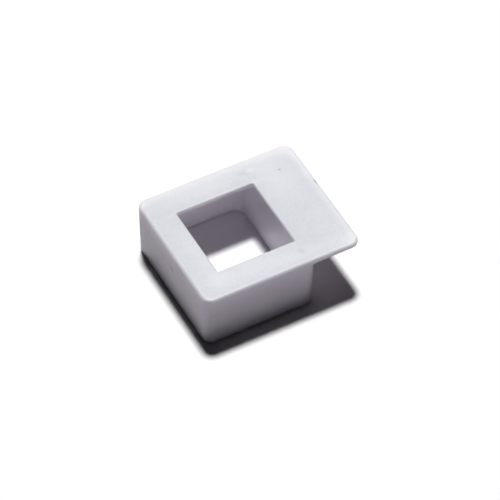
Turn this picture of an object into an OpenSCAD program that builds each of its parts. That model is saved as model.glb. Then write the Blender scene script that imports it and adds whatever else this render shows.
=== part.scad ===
// Tissue embedding ring: a thin-walled box, open below, under a flat plate.
// The plate is flush with the box on three sides and runs past the fourth as
// a grip lip. A square window in the plate opens into the box.
// +Z is up, +X points along the lip, and the origin is under the middle of
// the part, on the plane of the open rim. Sizes are in millimetres.

/* [Hollow body] */
// Height of the whole part, from the open rim to the top face
height = 12; // [8:0.1:20]
// Length of the body where it meets the plate
body_length = 23.1; // [19.2:0.1:32]
// Width of the body where it meets the plate, which is as wide
body_width = 28; // [22.6:0.1:36]
// Thickness at the open rim of the three walls that are flush with the plate
rim_wall = 0.85; // [0.6:0.05:1.4]
// Thickness at the open rim of the wall under the lip
lip_wall = 1.35; // [0.6:0.05:2]
// Lean of the outer walls towards the rim, in degrees
outer_draft = 1; // [0:0.25:1.5]
// Lean of the cavity walls away from the plate, in degrees
cavity_draft = 0.25; // [0.25:0.25:1]
// Radius of the upright corners of the body and the plate
corner_radius = 2; // [1:0.1:4]
// Radius of the upright corners of the cavity at the rim
cavity_radius = 2.2; // [1:0.1:3]

/* [Top plate] */
// Length of the grip lip, past the body
lip_length = 9.3; // [4:0.1:16]
// Thickness of the plate
plate_thickness = 0.95; // [0.8:0.05:2]
// Radius of the edge round the top face
edge_radius = 0.6; // [0.1:0.05:0.7]

/* [Window] */
// Length of the window along the plate
window_length = 15.9; // [8:0.1:19.8]
// Width of the window across the plate
window_width = 16; // [8:0.1:21.4]
// Radius of the upright corners of the window
window_radius = 0.2; // [0.1:0.05:1]
// Radius of the edge between the window and the top face
window_edge_radius = 0.4; // [0.1:0.05:0.6]

/* [Hidden] */
$fn = 96;

// How far the cutting solids run past the faces that they open
cut_margin = 1;
moulded_plastic = [0.87, 0.88, 0.9];

plate_length = body_length + lip_length;
plate_base = height - plate_thickness;

// How far a draft moves a wall between the plate and the rim, to the micron,
// so that neighbouring pieces of a swept block meet exactly
function drafted(draft) = round(1000 * plate_base * tan(draft)) / 1000;
outer_lean = drafted(outer_draft);
cavity_lean = drafted(cavity_draft);

// How far the body runs up into the plate's upright edge
body_overlap = (plate_thickness - edge_radius) / 2;

// The body hangs under the end of the plate away from the lip
body_start = -plate_length / 2;
body_end = body_start + body_length;

// How far the cavity's roof lies inside the top of the body
roof_inset = outer_lean + rim_wall + cavity_lean;
lip_side_inset = outer_lean + lip_wall + cavity_lean;
cavity_start = body_start + roof_inset;
cavity_end = body_end - lip_side_inset;

// A block with rounded upright corners. The child is the section of its edge,
// drawn from the centre line of a corner outwards. Two beams cross the block
// with that section at both ends, and a turned post fills each corner. They
// run into each other, so nothing only touches.
module swept_block(length, width, radius, depth) {
    reach = [length / 2 - radius, width / 2 - radius];
    for (side = [0, 1])
        rotate([90, 0, 90 * side])
            linear_extrude(2 * reach[1 - side], center = true) {
                translate([-reach[side], 0])
                    square([2 * reach[side], depth]);
                for (end = [0, 1])
                    mirror([end, 0])
                        translate([reach[side], 0])
                            children(0);
            }
    for (x = [-reach.x, reach.x], y = [-reach.y, reach.y])
        translate([x, y, 0])
            rotate_extrude()
                children(0);
}

// Edge section of the plate: upright, with a rounded top corner
module plate_section() {
    shoulder = [corner_radius - edge_radius, plate_thickness - edge_radius];
    square([corner_radius, shoulder.y]);
    square([shoulder.x, plate_thickness]);
    intersection() {
        translate(shoulder)
            circle(edge_radius);
        translate(shoulder)
            square(edge_radius);
    }
}

// Edge section of the body: it leans out to the plate, then is upright in it
module body_section() {
    foot = corner_radius - outer_lean;
    polygon([
        [0, 0],
        [foot, 0],
        [corner_radius, plate_base],
        [corner_radius, plate_base + body_overlap],
        [0, plate_base + body_overlap]
    ]);
}

// Edge section of the cavity's cutting solid, which narrows to the roof
module cavity_section(foot_radius, roof_radius, depth) {
    polygon([[0, 0], [foot_radius, 0], [roof_radius, depth], [0, depth]]);
}

// Edge section of the window's cutting solid: upright, then flaring out to the
// top face over the plate's rounded edge
module window_section(depth) {
    mouth = window_radius + window_edge_radius;
    throat = depth - cut_margin - window_edge_radius;
    square([window_radius, throat]);
    difference() {
        translate([0, throat])
            square([mouth, depth - throat]);
        translate([mouth, throat])
            circle(window_edge_radius);
    }
}

module top_plate() {
    translate([0, 0, plate_base])
        swept_block(plate_length, body_width, corner_radius, plate_thickness)
            plate_section();
}

module outer_body() {
    translate([(body_start + body_end) / 2, 0, 0])
        swept_block(body_length, body_width, corner_radius, plate_base + body_overlap)
            body_section();
}

// The cavity widens from its roof, under the plate, down to the rim
module cavity() {
    roof = [cavity_end - cavity_start, body_width - 2 * roof_inset];
    roof_radius = cavity_radius - cavity_lean;
    depth = plate_base + cut_margin;
    foot_radius = roof_radius + cavity_lean * depth / plate_base;
    translate([(cavity_start + cavity_end) / 2, 0, -cut_margin])
        swept_block(roof.x, roof.y, roof_radius, depth)
            cavity_section(foot_radius, roof_radius, depth);
}

// The window lines up with the cavity's wall on the side of the lip
module window() {
    depth = plate_thickness + 2 * cut_margin;
    translate([cavity_end - window_length / 2, 0, plate_base - cut_margin])
        swept_block(window_length, window_width, window_radius, depth)
            window_section(depth);
}

module embedding_ring() {
    color(moulded_plastic)
        difference() {
            union() {
                top_plate();
                outer_body();
            }
            cavity();
            window();
        }
}

embedding_ring();
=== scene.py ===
"""The look of a tissue embedding ring: one pale plastic moulding that stands on a white table."""

import math

import bmesh
import bpy
import numpy as np
from mathutils import Matrix, Vector


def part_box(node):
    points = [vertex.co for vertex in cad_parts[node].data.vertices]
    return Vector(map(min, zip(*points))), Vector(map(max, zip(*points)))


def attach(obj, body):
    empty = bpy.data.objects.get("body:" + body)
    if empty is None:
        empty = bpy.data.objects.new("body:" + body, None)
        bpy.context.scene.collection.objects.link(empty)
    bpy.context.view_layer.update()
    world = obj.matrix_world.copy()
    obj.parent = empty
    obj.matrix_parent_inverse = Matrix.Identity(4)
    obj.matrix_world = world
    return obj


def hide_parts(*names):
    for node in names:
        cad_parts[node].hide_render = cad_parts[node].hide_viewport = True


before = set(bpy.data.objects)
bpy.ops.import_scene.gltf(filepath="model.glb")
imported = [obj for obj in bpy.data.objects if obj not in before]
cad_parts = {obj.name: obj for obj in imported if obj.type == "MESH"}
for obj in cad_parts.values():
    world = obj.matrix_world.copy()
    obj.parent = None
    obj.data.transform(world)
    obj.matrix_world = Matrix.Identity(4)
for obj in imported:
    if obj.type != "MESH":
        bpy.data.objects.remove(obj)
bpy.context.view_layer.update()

MM = 0.001

# ---------------------------------------------------------------- sizes
# The outer sizes come from the frame, and the rest are the moulding's own.
LOW, HIGH = (Vector(point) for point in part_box("embedding_ring"))
TOP = HIGH.z
BODY_LENGTH = 23.1 * MM
PLATE_THICKNESS = 0.95 * MM
PLATE_BASE = TOP - PLATE_THICKNESS
CORNER_RADIUS = 2.0 * MM
CAVITY_RADIUS = 2.2 * MM
EDGE_RADIUS = 0.6 * MM
WINDOW_LENGTH = 15.9 * MM
WINDOW_WIDTH = 16.0 * MM
WINDOW_EDGE = 0.4 * MM
WINDOW_CORNER = 0.2 * MM
RIM_WALL = 0.85 * MM
LIP_WALL = 1.35 * MM
OUTER_LEAN = math.tan(math.radians(1.0))
CAVITY_LEAN = math.tan(math.radians(0.25))

BODY_END = LOW.x + BODY_LENGTH
ROOF_INSET = PLATE_BASE * (OUTER_LEAN + CAVITY_LEAN) + RIM_WALL
ROOF_RADIUS = CAVITY_RADIUS - PLATE_BASE * CAVITY_LEAN
WINDOW_END = BODY_END - ROOF_INSET - (LIP_WALL - RIM_WALL)

# Small radii that moulded edges have
RIM_EDGE = 0.18 * MM
LIP_EDGE = 0.12 * MM
LIP_FILLET = 0.25 * MM
ROOF_EDGE = 0.08 * MM
ROOF_FILLET = 0.35 * MM

# Sink marks in the top, beside the window: centre, radii and depth in millimetres
REAR_SINK = (5.0, 11.1)
FRONT_SINK = (5.25, -10.75)
DIMPLES = [
    (REAR_SINK, (1.1, 0.6), 0.05),
    (FRONT_SINK, (0.6, 0.6), 0.03),
]

# Scar of the gate in the lip's end: its place, how far down it lies, its half sizes and depth
GATE_Y = 2.8 * MM
GATE_DROP = 0.35 * MM
GATE_HALF_WIDTH = 0.42 * MM
GATE_HALF_HEIGHT = 0.3 * MM
GATE_DEPTH = 0.07 * MM

# ---------------------------------------------------------------- outlines
# Every outline has the same number of points, so neighbouring rings join in
# four-sided faces. These are the steps along the stretches of half an outline.
MIDDLE = 36  # the +X side, beside the window
STUB = 14  # the +X side, from there to its corner
ARC = 12  # a rounded corner
LIP = 30  # the long side, along the lip
FLUSH = 64  # the long side, along the body
REAR = 40  # the -X side
SHARP = 6  # a corner of the window
LONG = STUB + ARC + LIP + FLUSH + ARC - 2 * SHARP  # the window's side, which takes up the rest

# Where the window's straight +X side ends, and with it each outline's first stretch
SHARED = WINDOW_WIDTH / 2 - WINDOW_CORNER

# Rows of points along the straight stretches of the section, and steps round its small radii
WALL_ROWS = 14
UNDERSIDE_ROWS = 14
SIDE_ROWS = 6
CUT_ROWS = 6
ROOF_ROWS = 12
RIM_STEPS = 4
LIP_STEPS = 4
FILLET_STEPS = 5
EDGE_STEPS = 10
WINDOW_STEPS = 8
ROOF_STEPS = 3

# Where the top's rings lie from its outer edge to the window: close to both rounded edges,
# so that the flat between them shades as flat
TOP_SHARES = [0.008, *np.linspace(0.03, 0.98, 38), 0.995]

# Heights of the outside's first two rings and the cavity's last row over the rim, and the
# gaps that the rows of a wall and of the window's side leave below a rounded edge
FIRST_RING = 0.2 * MM
SECOND_RING = 0.6 * MM
CAVITY_RING = 0.4 * MM
WALL_GAP = 0.1 * MM
CUT_GAP = 0.04 * MM

# The window's lower edge fades out over this many points beside its corner, and the
# roof's fillet over this share of the stub
EDGE_FADE = 5
FILLET_FADE = 0.7

# Points closer than this are one point, edges shorter than half of it go, and a point this
# close to the top lies on it
TINY = 0.001 * MM
CREASE_ANGLE = math.radians(55)


def line(start, end, steps, last=False):
    """Points from start to end, without the last one unless it is asked for."""
    return np.linspace(start, end, steps + last, endpoint=last)


def corner(centre, radius, start_deg, steps):
    """Points on a quarter turn, without its last one."""
    angles = np.radians(np.linspace(start_deg, start_deg + 90, steps, endpoint=False))
    return np.array(centre) + radius * np.stack([np.cos(angles), np.sin(angles)], 1)


def both_halves(*stretches):
    """A closed outline from its half at +Y, which runs from the +X side's middle to the -X side's."""
    half = np.concatenate(stretches)
    return np.concatenate([half, half[-2:0:-1] * [1, -1]])


def body_outline(inset):
    """Outline of the body, moved in by inset."""
    radius = CORNER_RADIUS - inset
    x0, x1, y1 = LOW.x + inset, BODY_END - inset, HIGH.y - inset
    cx0, cx1, cy = LOW.x + CORNER_RADIUS, BODY_END - CORNER_RADIUS, HIGH.y - CORNER_RADIUS
    return both_halves(
        line((x1, 0), (x1, SHARED), MIDDLE),
        line((x1, SHARED), (x1, cy), STUB),
        corner((cx1, cy), radius, 0, ARC + LIP),
        line((cx1, y1), (cx0, y1), FLUSH),
        corner((cx0, cy), radius, 90, ARC),
        line((x0, cy), (x0, 0), REAR, last=True),
    )


def plate_outline(inset):
    """Outline of the plate, moved in by inset. Along the body it is the body's outline."""
    radius = CORNER_RADIUS - inset
    x0, x1, y1 = LOW.x + inset, HIGH.x - inset, HIGH.y - inset
    cx0, cx1, cy = LOW.x + CORNER_RADIUS, HIGH.x - CORNER_RADIUS, HIGH.y - CORNER_RADIUS
    flush = BODY_END - CORNER_RADIUS
    return both_halves(
        line((x1, 0), (x1, SHARED), MIDDLE),
        line((x1, SHARED), (x1, cy), STUB),
        corner((cx1, cy), radius, 0, ARC),
        line((cx1, y1), (flush, y1), LIP),
        line((flush, y1), (cx0, y1), FLUSH),
        corner((cx0, cy), radius, 90, ARC),
        line((x0, cy), (x0, 0), REAR, last=True),
    )


def cavity_outline(growth):
    """Outline of the cavity at its roof, moved out by growth."""
    radius = ROOF_RADIUS + growth
    inset = ROOF_INSET - growth
    x0, x1, y1 = LOW.x + inset, WINDOW_END + growth, HIGH.y - inset
    cx0, cx1, cy = x0 + radius, x1 - radius, y1 - radius
    return both_halves(
        line((x1, 0), (x1, SHARED), MIDDLE),
        line((x1, SHARED), (x1, cy), STUB),
        corner((cx1, cy), radius, 0, ARC + LIP),
        line((cx1, y1), (cx0, y1), FLUSH),
        corner((cx0, cy), radius, 90, ARC),
        line((x0, cy), (x0, 0), REAR, last=True),
    )


def window_outline(growth):
    """Outline of the window, moved out by growth. It meets the cavity's +X side."""
    radius = WINDOW_CORNER + growth
    x0, x1, y1 = WINDOW_END - WINDOW_LENGTH - growth, WINDOW_END + growth, WINDOW_WIDTH / 2 + growth
    cx0, cx1, cy = x0 + radius, x1 - radius, y1 - radius
    return both_halves(
        line((x1, 0), (x1, cy), MIDDLE),
        corner((cx1, cy), radius, 0, SHARP),
        line((cx1, y1), (cx0, y1), LONG),
        corner((cx0, cy), radius, 90, SHARP),
        line((x0, cy), (x0, 0), REAR, last=True),
    )


# ---------------------------------------------------------------- rings
def ring(outline, height):
    """A ring of points in space from an outline, at one height or at one for each point."""
    heights = np.broadcast_to(height, len(outline))
    return np.concatenate([outline, heights[:, None]], 1)


def mix(first, second, share):
    """Between two outlines, by one share or by one for each point."""
    return first + (second - first) * np.reshape(share, (-1, 1))


def quarter(steps, first=0):
    """Sines and cosines over a quarter turn."""
    angles = np.linspace(0, math.pi / 2, steps + 1)[first:]
    return list(zip(np.sin(angles), np.cos(angles)))


def ramp(values, start, end):
    """Smoothly from 0 at start to 1 at end."""
    share = np.clip((values - start) / (end - start), 0, 1)
    return share * share * (3 - 2 * share)


def station_numbers():
    """The number of each point, counted from the +X side's middle, alike on both halves."""
    half = np.arange(MIDDLE + LONG + 2 * SHARP + REAR + 1)
    return np.concatenate([half, half[-2:0:-1]])


def body_wall_rings():
    """The body's drafted outside, from the rim's rounded edge to the lip's fillet."""
    rings = []
    foot_inset = PLATE_BASE * OUTER_LEAN
    for sine, cosine in quarter(RIM_STEPS):
        outline = body_outline(foot_inset + RIM_EDGE * (1 - sine))
        rings.append(ring(outline, RIM_EDGE * (1 - cosine)))
    top = PLATE_BASE - LIP_FILLET
    for z in [FIRST_RING, *np.linspace(SECOND_RING, top - WALL_GAP, WALL_ROWS), top]:
        rings.append(ring(body_outline((PLATE_BASE - z) * OUTER_LEAN), z))
    facing = lip_facing()
    for sine, cosine in quarter(FILLET_STEPS, first=1):
        z = top + LIP_FILLET * sine
        outline = body_outline((PLATE_BASE - z) * OUTER_LEAN)
        outline[:, 0] += LIP_FILLET * (1 - cosine) * facing
        rings.append(ring(outline, z))
    return rings


def lip_facing():
    """How far each point of the body's outline faces the lip, from 0 to 1."""
    angles = np.linspace(0, math.pi / 2, ARC + LIP, endpoint=False)
    half = np.concatenate([
        np.ones(MIDDLE + STUB), np.cos(angles), np.zeros(FLUSH + ARC + REAR + 1)
    ])
    return np.concatenate([half, half[-2:0:-1]])


def lip_share():
    """How much of the lip's lower edge is rounded at each point: none where the body joins it."""
    beyond = plate_outline(0)[:, 0] - (BODY_END - CORNER_RADIUS)
    run = np.clip(beyond, 0, CORNER_RADIUS)
    gap = CORNER_RADIUS - np.sqrt(CORNER_RADIUS**2 - run**2)
    return np.clip(gap / (2 * LIP_EDGE), 0, 1)


def lip_underside_rings():
    """The lip's flat underside and its rounded lower edge."""
    share = lip_share()
    inner = body_outline(0)
    inner[:, 0] += LIP_FILLET * lip_facing()
    outer = mix(plate_outline(0), plate_outline(LIP_EDGE), share)
    rings = [ring(mix(inner, outer, s), PLATE_BASE) for s in np.linspace(0, 1, UNDERSIDE_ROWS)[1:]]
    for sine, cosine in quarter(LIP_STEPS, first=1):
        outline = mix(plate_outline(0), plate_outline(LIP_EDGE * (1 - sine)), share)
        rings.append(ring(outline, PLATE_BASE + LIP_EDGE * (1 - cosine) * share))
    return rings


def plate_edge_rings():
    """The plate's upright side and the rounded edge over it."""
    start, end = PLATE_BASE + LIP_EDGE, TOP - EDGE_RADIUS
    rings = [ring(plate_outline(0), z) for z in np.linspace(start, end, SIDE_ROWS)[1:]]
    for sine, cosine in quarter(EDGE_STEPS, first=1):
        outline = plate_outline(EDGE_RADIUS * (1 - cosine))
        rings.append(ring(outline, end + EDGE_RADIUS * sine))
    return rings


def top_rings():
    """The flat top, from its rounded edge to the window."""
    outer = plate_outline(EDGE_RADIUS)
    inner = window_outline(WINDOW_EDGE)
    return [ring(mix(outer, inner, s), TOP) for s in TOP_SHARES]


def window_rings():
    """The window's slightly rounded upper edge, its upright side and its lower edge."""
    rings = []
    for sine, cosine in quarter(WINDOW_STEPS):
        outline = window_outline(WINDOW_EDGE * (1 - sine))
        rings.append(ring(outline, TOP - WINDOW_EDGE * (1 - cosine)))
    for z in np.linspace(TOP - WINDOW_EDGE - CUT_GAP, PLATE_BASE + ROOF_EDGE, CUT_ROWS):
        rings.append(ring(window_outline(0), z))
    share = roof_edge_share()
    for sine, cosine in quarter(ROOF_STEPS, first=1):
        outline = mix(window_outline(0), window_outline(ROOF_EDGE * (1 - cosine)), share)
        rings.append(ring(outline, PLATE_BASE + ROOF_EDGE * (1 - sine)))
    return rings


def roof_edge_share():
    """How much the window's lower edge is rounded: not at all where it runs on into the cavity's side."""
    start = MIDDLE + SHARP
    return ramp(station_numbers(), start, start + EDGE_FADE)


def roof_fillet_share():
    """How much of the roof's fillet there is: none beside the window."""
    return ramp(station_numbers(), MIDDLE, MIDDLE + STUB * FILLET_FADE)


def cavity_rings():
    """The cavity's roof, its fillet, its drafted sides and the rim's rounded inner edge."""
    share = roof_fillet_share()
    opening = mix(window_outline(0), window_outline(ROOF_EDGE), roof_edge_share())
    roof_end = mix(cavity_outline(0), cavity_outline(-ROOF_FILLET), share)
    rings = [ring(mix(opening, roof_end, s), PLATE_BASE) for s in np.linspace(0, 1, ROOF_ROWS)[1:]]
    for sine, cosine in quarter(FILLET_STEPS, first=1):
        drop = ROOF_FILLET * (1 - cosine)
        growth = drop * CAVITY_LEAN
        outline = mix(cavity_outline(growth), cavity_outline(growth - ROOF_FILLET * (1 - sine)), share)
        rings.append(ring(outline, PLATE_BASE - drop))
    top = PLATE_BASE - ROOF_FILLET - WALL_GAP
    for z in [*np.linspace(top, CAVITY_RING, WALL_ROWS), RIM_EDGE]:
        rings.append(ring(cavity_outline((PLATE_BASE - z) * CAVITY_LEAN), z))
    foot = PLATE_BASE * CAVITY_LEAN
    for sine, cosine in quarter(RIM_STEPS, first=1):
        rings.append(ring(cavity_outline(foot + RIM_EDGE * (1 - cosine)), RIM_EDGE * (1 - sine)))
    return rings


def rim_rings():
    """The flat rim that the part stands on."""
    inner = cavity_outline(PLATE_BASE * CAVITY_LEAN + RIM_EDGE)
    outer = body_outline(PLATE_BASE * OUTER_LEAN + RIM_EDGE)
    return [ring(mix(inner, outer, share), 0.0) for share in (0.25, 0.5, 0.75)]


def press(points, centre, radii, depth):
    """Presses a soft oval dimple into those points that lie on the top."""
    reach = (points[:, :2] - np.array(centre) * MM) / (np.array(radii) * MM)
    on_top = points[:, 2] > TOP - TINY
    points[:, 2] -= on_top * depth * MM * np.exp(-(reach**2).sum(1))


def cut_gate(points):
    """Leaves the small scar of the broken-off gate in the lip's end edge."""
    reach_y = (points[:, 1] - GATE_Y) / GATE_HALF_WIDTH
    reach_z = (points[:, 2] - TOP + GATE_DROP) / GATE_HALF_HEIGHT
    at_end = points[:, 0] > HIGH.x - EDGE_RADIUS
    points[:, 0] -= at_end * GATE_DEPTH * np.exp(-(reach_y**4) - reach_z**2)


def make_moulding():
    """The whole moulding as one closed skin of rings, from the rim up, over the top and down inside."""
    rings = [
        *body_wall_rings(),
        *lip_underside_rings(),
        *plate_edge_rings(),
        *top_rings(),
        *window_rings(),
        *cavity_rings(),
        *rim_rings(),
    ]
    for points in rings:
        for centre, radii, depth in DIMPLES:
            press(points, centre, radii, depth)
        cut_gate(points)
    count = len(rings[0])
    mesh_data = bmesh.new()
    verts = [[mesh_data.verts.new(point) for point in points] for points in rings]
    for first, second in zip(verts, verts[1:] + verts[:1]):
        for i in range(count):
            j = (i + 1) % count
            mesh_data.faces.new((first[i], first[j], second[j], second[i]))
    bmesh.ops.remove_doubles(mesh_data, verts=mesh_data.verts, dist=TINY)
    bmesh.ops.dissolve_degenerate(mesh_data, edges=mesh_data.edges, dist=TINY / 2)
    bmesh.ops.recalc_face_normals(mesh_data, faces=mesh_data.faces)
    for face in mesh_data.faces:
        face.smooth = True
    mesh = bpy.data.meshes.new("moulding")
    mesh_data.to_mesh(mesh)
    mesh_data.free()
    mesh.set_sharp_from_angle(angle=CREASE_ANGLE)
    piece = bpy.data.objects.new("moulding", mesh)
    bpy.context.scene.collection.objects.link(piece)
    return piece


# ---------------------------------------------------------------- materials
WHITE = (1.0, 1.0, 1.0, 1)

# The plastic's colour, its roughness and how far that varies, its gloss, how far light
# scatters in it, and the tint of the light that passes through
PLASTIC = (0.75, 0.791, 0.813)
ROUGHNESS = 0.38
LESS_ROUGH = 0.04
MORE_ROUGH = 0.05
GLOSS = 0.9
SCATTER = (0.65, 0.65, 0.6)  # in millimetres
THROUGH_TINT = (0.95, 0.86, 0.95, 1)

# Sizes of the patterns in the plastic, and how high its fine bumps stand
CLOUD_SIZE = 7 * MM
MOTTLE_SIZE = 0.9 * MM
GRAIN_SIZE = 0.45 * MM
SATIN_SIZE = 1.6 * MM
BUMP_SIZE = 0.35 * MM
BUMP_HEIGHT = 0.005 * MM

# Share of the light that passes through a wall, the share at the rim of the -Y wall, and the part of it
# that is kept at the rim of the -X wall. Less light passes at these rims as painted shade, which darkens
# the feet of these shaded walls. Each rim's zone has a centre and radii in millimetres.
THROUGH = 0.27
FRONT_THROUGH = 0.09
SIDE_KEPT = 0.15
FRONT_FOOT_SHADE = ((0.0, -14.0, 0.0), (60.0, 1.6, 4.5))
SIDE_FOOT_SHADE = ((-16.3, 0.0, 0.0), (1.4, 60.0, 4.5))

# Painted light: a paler colour that stands in for light shining through the thin plastic and for bright
# rims along its edges, not the plastic's own colour. Centre and radii in millimetres, and strength
TOP_MM = TOP / MM
PAINTED_GLOW = (0.955, 0.99, 1.0, 1)
PAINTED_GLOW_ZONES = [
    ((0.0, 14.3, TOP_MM), (60.0, 1.6, 3.0), 0.95),  # along the +Y edge
    ((16.6, 0.0, TOP_MM), (1.3, 60.0, 3.0), 0.65),  # along the lip's end
    ((16.4, 9.0, TOP_MM), (1.4, 5.0, 3.0), 0.35),  # the lip's end again, towards +Y
    ((16.6, -14.4, TOP_MM), (3.0, 2.8, 3.0), 1.0),  # the lip's corner at -Y
    ((16.4, 14.0, TOP_MM), (3.4, 2.6, 3.0), 1.0),  # the lip's corner at +Y
    ((-15.8, 13.4, TOP_MM), (1.2, 1.2, 3.0), 0.7),  # the body's corner at -X and +Y
    ((-11.9, -4.0, TOP_MM), (1.2, 7.0, 1.0), 0.2),  # the -X side of the window
    ((-10.9, -10.0, TOP_MM), (2.4, 1.5, 1.0), 0.25),  # round the window's corner at -X and -Y
    ((-5.0, -9.6, TOP_MM), (6.0, 1.2, 1.0), 0.25),  # the -Y side of the window
    ((2.5, -11.5, TOP_MM), (10.0, 1.2, 1.0), 0.25),  # between there and the -Y edge
    ((-3.0, 11.0, TOP_MM), (9.0, 1.6, 1.0), 0.35),  # the +Y side of the window
    ((9.5, 7.0, TOP_MM), (3.0, 5.0, 1.0), 0.3),  # the lip's top
    ((-2.7, 8.0, 11.4), (9.0, 0.4, 0.6), 1.0),  # the window's upright side at +Y
    ((5.6, 0.0, 5.2), (0.25, 6.2, 3.1), 0.9),  # the inner face of the wall under the lip
]

# Marks and painted shade: centre and radii in millimetres, turn about X, softness, strength and colour.
# The speck and the scratch are the plastic's own, while the sink marks' dark and pale patches and the
# dark of the gate's scar are painted shade and painted highlight
MARKS_AND_PAINTED_SHADE = [
    # Painted shade and painted highlight of the rear sink mark: its dark side and the pale patch beside
    # it
    ((*REAR_SINK, TOP_MM), (1.15, 0.55, 0.5), 0, 0.7, 0.35, (0.60, 0.63, 0.68, 1)),
    ((6.45, 11.1, TOP_MM), (0.95, 0.45, 0.5), 0, 0.7, 0.6, (0.93, 0.96, 0.98, 1)),
    # Painted shade of the front sink mark
    ((*FRONT_SINK, TOP_MM), (0.6, 0.7, 0.5), 0, 0.6, 0.4, (0.58, 0.61, 0.72, 1)),
    # A speck on the lip
    ((11.37, 8.63, TOP_MM), (0.17, 0.17, 0.5), 0, 0.4, 0.8, (0.25, 0.25, 0.28, 1)),
    # Painted shade in the gate's scar on the lip's end
    ((15.9, 2.75, 11.8), (0.28, 0.75, 0.5), 0, 0.3, 0.6, (0.20, 0.20, 0.20, 1)),
    # A scratch on the -X wall
    ((-16.15, -0.5, 8.0), (0.4, 0.66, 0.24), 25, 0.5, 0.85, (0.18, 0.17, 0.18, 1)),
]


def new_material(name):
    """An empty node material, its node tree and its output's surface socket."""
    material = bpy.data.materials.new(name)
    material.use_nodes = True
    tree = material.node_tree
    tree.nodes.clear()
    output = tree.nodes.new("ShaderNodeOutputMaterial")
    return material, tree, output.inputs["Surface"]


def noise(tree, place, size, detail=2.0):
    """Cloudy noise from 0 to 1, with features of about this size."""
    node = tree.nodes.new("ShaderNodeTexNoise")
    node.inputs["Scale"].default_value = 1 / size
    node.inputs["Detail"].default_value = detail
    tree.links.new(place, node.inputs["Vector"])
    return node.outputs["Fac"]


def spread(tree, value, low, high, smooth=False, start=0.3, end=0.7):
    """Takes a value's stretch from start to end onto low to high."""
    node = tree.nodes.new("ShaderNodeMapRange")
    if smooth:
        node.interpolation_type = "SMOOTHSTEP"
    for name, number in zip(("From Min", "From Max", "To Min", "To Max"), (start, end, low, high)):
        node.inputs[name].default_value = number
    tree.links.new(value, node.inputs["Value"])
    return node.outputs["Result"]


def oval(tree, place, centre, radii, turn=0.0, fade=0.5):
    """1 in an oval mark and 0 outside it. The centre and radii are in millimetres."""
    node = tree.nodes.new("ShaderNodeMapping")
    node.vector_type = "TEXTURE"
    node.inputs["Location"].default_value = [number * MM for number in centre]
    node.inputs["Rotation"].default_value = (math.radians(turn), 0, 0)
    node.inputs["Scale"].default_value = [number * MM for number in radii]
    tree.links.new(place, node.inputs["Vector"])
    length = tree.nodes.new("ShaderNodeVectorMath")
    length.operation = "LENGTH"
    tree.links.new(node.outputs["Vector"], length.inputs[0])
    return spread(tree, length.outputs["Value"], 1, 0, smooth=True, start=1 - fade, end=1 + fade)


def combine(tree, operation, first, second):
    """One number from two, where the second may be plain."""
    node = tree.nodes.new("ShaderNodeMath")
    node.operation = operation
    tree.links.new(first, node.inputs[0])
    if isinstance(second, (int, float)):
        node.inputs[1].default_value = second
    else:
        tree.links.new(second, node.inputs[1])
    return node.outputs[0]


def blend(tree, factor, first, second):
    """Between two colours, each a plain one or a socket."""
    node = tree.nodes.new("ShaderNodeMix")
    node.data_type = "RGBA"
    tree.links.new(factor, node.inputs["Factor"])
    for name, colour in (("A", first), ("B", second)):
        if isinstance(colour, tuple):
            node.inputs[name].default_value = colour
        else:
            tree.links.new(colour, node.inputs[name])
    return node.outputs["Result"]


def shade(scale, red=0.0, blue=0.0):
    """The plastic's colour made lighter or darker, redder or bluer."""
    return (PLASTIC[0] * scale + red, PLASTIC[1] * scale, PLASTIC[2] * scale + blue, 1)


def plastic_colour(tree, place):
    """Pale plastic with faint clouds, mottle and grain, zones of painted light where it glows, and its
    few small marks, some of them painted shade and highlight.
    """
    clouds = spread(tree, noise(tree, place, CLOUD_SIZE), 0, 1)
    colour = blend(tree, clouds, shade(0.975, blue=0.004), shade(1.025, red=0.004))
    mottle = spread(tree, noise(tree, place, MOTTLE_SIZE, 3.0), 0, 0.6)
    colour = blend(tree, mottle, colour, shade(1.05))
    grain = spread(tree, noise(tree, place, GRAIN_SIZE, 1.0), 0, 0.9)
    colour = blend(tree, grain, colour, shade(0.92))
    # Painted light: paler colour where light shines through the thin plastic and along its bright edges
    for centre, radii, strength in PAINTED_GLOW_ZONES:
        factor = combine(tree, "MULTIPLY", oval(tree, place, centre, radii, fade=1.0), strength)
        colour = blend(tree, factor, colour, PAINTED_GLOW)
    # The sink marks' and the gate scar's colours are painted shade and painted highlight; the speck and
    # the scratch are the plastic's own
    for centre, radii, turn, fade, strength, tint in MARKS_AND_PAINTED_SHADE:
        factor = combine(tree, "MULTIPLY", oval(tree, place, centre, radii, turn, fade), strength)
        colour = blend(tree, factor, colour, tint)
    return colour


def through_share_and_foot_shade(tree, place):
    """How much light the plastic lets through: less towards the rim of the -Y and -X walls, as painted
    shade at the feet of these shaded walls.
    """
    front = oval(tree, place, *FRONT_FOOT_SHADE, fade=1.0)
    side = oval(tree, place, *SIDE_FOOT_SHADE, fade=1.0)
    share = spread(tree, front, THROUGH, FRONT_THROUGH, start=0, end=1)
    return combine(tree, "MULTIPLY", share, spread(tree, side, 1, SIDE_KEPT, start=0, end=1))


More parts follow.
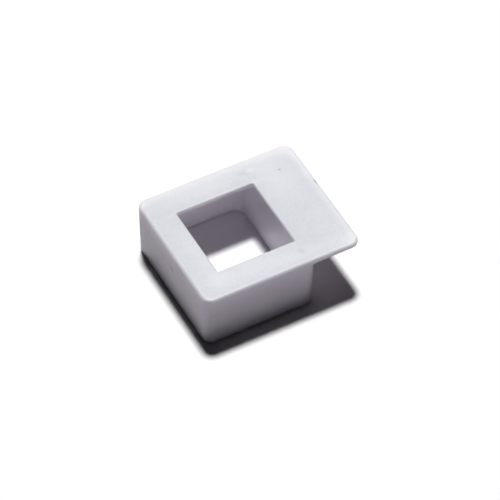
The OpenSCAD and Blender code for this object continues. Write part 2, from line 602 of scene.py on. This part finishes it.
def plastic_material():
    """Satin moulded plastic of a cool grey white, which lets a little light through."""
    material, tree, surface = new_material("pale_plastic")
    place = tree.nodes.new("ShaderNodeTexCoord").outputs["Object"]
    shader = tree.nodes.new("ShaderNodeBsdfPrincipled")
    shader.inputs["Specular IOR Level"].default_value = GLOSS
    shader.inputs["Subsurface Weight"].default_value = 1.0
    shader.inputs["Subsurface Radius"].default_value = SCATTER
    shader.inputs["Subsurface Scale"].default_value = MM
    tree.links.new(plastic_colour(tree, place), shader.inputs["Base Color"])
    cloudy = noise(tree, place, SATIN_SIZE, 3.0)
    satin = spread(tree, cloudy, ROUGHNESS - LESS_ROUGH, ROUGHNESS + MORE_ROUGH)
    tree.links.new(satin, shader.inputs["Roughness"])
    bump = tree.nodes.new("ShaderNodeBump")
    bump.inputs["Strength"].default_value = 1.0
    bump.inputs["Distance"].default_value = BUMP_HEIGHT
    tree.links.new(noise(tree, place, BUMP_SIZE), bump.inputs["Height"])
    tree.links.new(bump.outputs["Normal"], shader.inputs["Normal"])
    through = tree.nodes.new("ShaderNodeBsdfTranslucent")
    through.inputs["Color"].default_value = THROUGH_TINT
    both = tree.nodes.new("ShaderNodeMixShader")
    tree.links.new(through_share_and_foot_shade(tree, place), both.inputs["Fac"])
    tree.links.new(shader.outputs["BSDF"], both.inputs[1])
    tree.links.new(through.outputs["BSDF"], both.inputs[2])
    tree.links.new(both.outputs["Shader"], surface)
    return material


def seen_directly(tree):
    """1 for camera, glossy and transmission rays before any diffuse bounce, and 0 for the rest."""
    path = tree.nodes.new("ShaderNodeLightPath")
    total = path.outputs["Is Camera Ray"]
    for name in ("Is Glossy Ray", "Is Transmission Ray"):
        larger = tree.nodes.new("ShaderNodeMath")
        larger.operation = "MAXIMUM"
        tree.links.new(total, larger.inputs[0])
        tree.links.new(path.outputs[name], larger.inputs[1])
        total = larger.outputs[0]
    undimmed = combine(tree, "LESS_THAN", path.outputs["Diffuse Depth"], 0.5)
    return combine(tree, "MULTIPLY", total, undimmed)


def within(tree, value, low, high):
    """1 where a coordinate lies from low to high, and 0 elsewhere."""
    node = tree.nodes.new("ShaderNodeMath")
    node.operation = "COMPARE"
    tree.links.new(value, node.inputs[0])
    node.inputs[1].default_value = (low + high) / 2
    node.inputs[2].default_value = (high - low) / 2
    return node.outputs[0]


def over(tree, low, high):
    """1 on the ground in the rectangle between these corners, and 0 elsewhere."""
    parts = tree.nodes.new("ShaderNodeSeparateXYZ")
    place = tree.nodes.new("ShaderNodeTexCoord").outputs["Object"]
    tree.links.new(place, parts.inputs[0])
    across = within(tree, parts.outputs["X"], low.x, high.x)
    along = within(tree, parts.outputs["Y"], low.y, high.y)
    return combine(tree, "MULTIPLY", across, along)


# How much light the table sends on to the part: far off, round the part and inside the ring.
# The last two are rectangles, by two of their corners.
FAR_BOUNCE = (0.50, 0.44, 0.50, 1)
NEAR_BOUNCE = (0.14, 0.128, 0.134, 1)
INNER_BOUNCE = (0.90, 0.80, 0.90, 1)
NEAR_LOW = LOW - Vector((6.0, 9.0, 0.0)) * MM
NEAR_HIGH = HIGH + Vector((3.0, -3.0, 0.0)) * MM
INNER_LOW = LOW + Vector((RIM_WALL, RIM_WALL, 0.0))
INNER_HIGH = Vector((WINDOW_END, HIGH.y - RIM_WALL, 0.0))


def floor_material():
    """White to the camera and in gloss. What it sends on as light differs from place to place."""
    material, tree, surface = new_material("white_table")
    near = over(tree, NEAR_LOW, NEAR_HIGH)
    inner = over(tree, INNER_LOW, INNER_HIGH)
    bounce = blend(tree, near, FAR_BOUNCE, NEAR_BOUNCE)
    bounce = blend(tree, inner, bounce, INNER_BOUNCE)
    colour = blend(tree, seen_directly(tree), bounce, WHITE)
    shader = tree.nodes.new("ShaderNodeBsdfDiffuse")
    tree.links.new(colour, shader.inputs["Color"])
    tree.links.new(shader.outputs["BSDF"], surface)
    return material


# ---------------------------------------------------------------- setting
TABLE_HALF_SIZE = 4.0


def make_floor():
    """A wide flat table under the part."""
    mesh_data = bmesh.new()
    bmesh.ops.create_grid(mesh_data, x_segments=8, y_segments=8, size=TABLE_HALF_SIZE)
    mesh = bpy.data.meshes.new("table")
    mesh_data.to_mesh(mesh)
    mesh_data.free()
    floor = bpy.data.objects.new("table", mesh)
    bpy.context.scene.collection.objects.link(floor)
    mesh.materials.append(floor_material())


KEY_TRAVEL = Vector((-0.115, -0.268, -1.0))
KEY_ANGLE = math.radians(8.5)
KEY_DISTANCE = 0.5


def make_key_light():
    """One small studio lamp from above and slightly behind, at the level at which white is white."""
    lamp = bpy.data.lights.new("key", "SUN")
    steepness = -KEY_TRAVEL.normalized().z
    lamp.energy = math.pi / steepness
    lamp.angle = KEY_ANGLE
    key = bpy.data.objects.new("key", lamp)
    key.rotation_euler = KEY_TRAVEL.to_track_quat("-Z", "Y").to_euler()
    key.location = -KEY_TRAVEL.normalized() * KEY_DISTANCE
    bpy.context.scene.collection.objects.link(key)


ROOM_LIGHT = (0.006, 0.006, 0.006, 1)


def make_world():
    """A white room to the camera and in gloss, which adds very little light of its own."""
    world = bpy.data.worlds.new("room")
    world.use_nodes = True
    tree = world.node_tree
    background = tree.nodes["Background"]
    background.inputs["Strength"].default_value = 1.0
    colour = blend(tree, seen_directly(tree), ROOM_LIGHT, WHITE)
    tree.links.new(colour, background.inputs["Color"])
    bpy.context.scene.world = world


VIEW_AZIMUTH = math.radians(-29.0)
VIEW_ELEVATION = math.radians(49.1)
VIEW_ROLL = math.radians(0.74)
VIEW_DISTANCE = 667.2 * MM
VIEW_LENS = 259.3
SENSOR_WIDTH = 36.0
AIM_OFFSET = Vector((-0.44, -1.72, 0.0)) * MM


def make_camera():
    """A long-lens view of the part from its front left, and from well above."""
    camera_data = bpy.data.cameras.new("camera")
    camera_data.lens = VIEW_LENS
    camera_data.sensor_width = SENSOR_WIDTH
    camera_data.clip_start = 0.01
    camera_data.clip_end = 20.0
    back = Vector((
        math.sin(VIEW_AZIMUTH) * math.cos(VIEW_ELEVATION),
        -math.cos(VIEW_AZIMUTH) * math.cos(VIEW_ELEVATION),
        math.sin(VIEW_ELEVATION),
    ))
    right = (-back).cross(Vector((0, 0, 1))).normalized()
    up = back.cross(right)
    turned = Matrix((right, up, back)).transposed() @ Matrix.Rotation(VIEW_ROLL, 3, "Z")
    place = (LOW + HIGH) / 2 + AIM_OFFSET + back * VIEW_DISTANCE
    camera = bpy.data.objects.new("camera", camera_data)
    camera.matrix_world = Matrix.Translation(place) @ turned.to_4x4()
    bpy.context.scene.collection.objects.link(camera)
    bpy.context.scene.camera = camera


make_camera()
make_key_light()
make_world()
make_floor()
bpy.context.scene.view_settings.view_transform = "Standard"

moulding = make_moulding()
moulding.data.materials.append(plastic_material())
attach(moulding, "root")
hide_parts("embedding_ring")

bpy.context.view_layer.update()
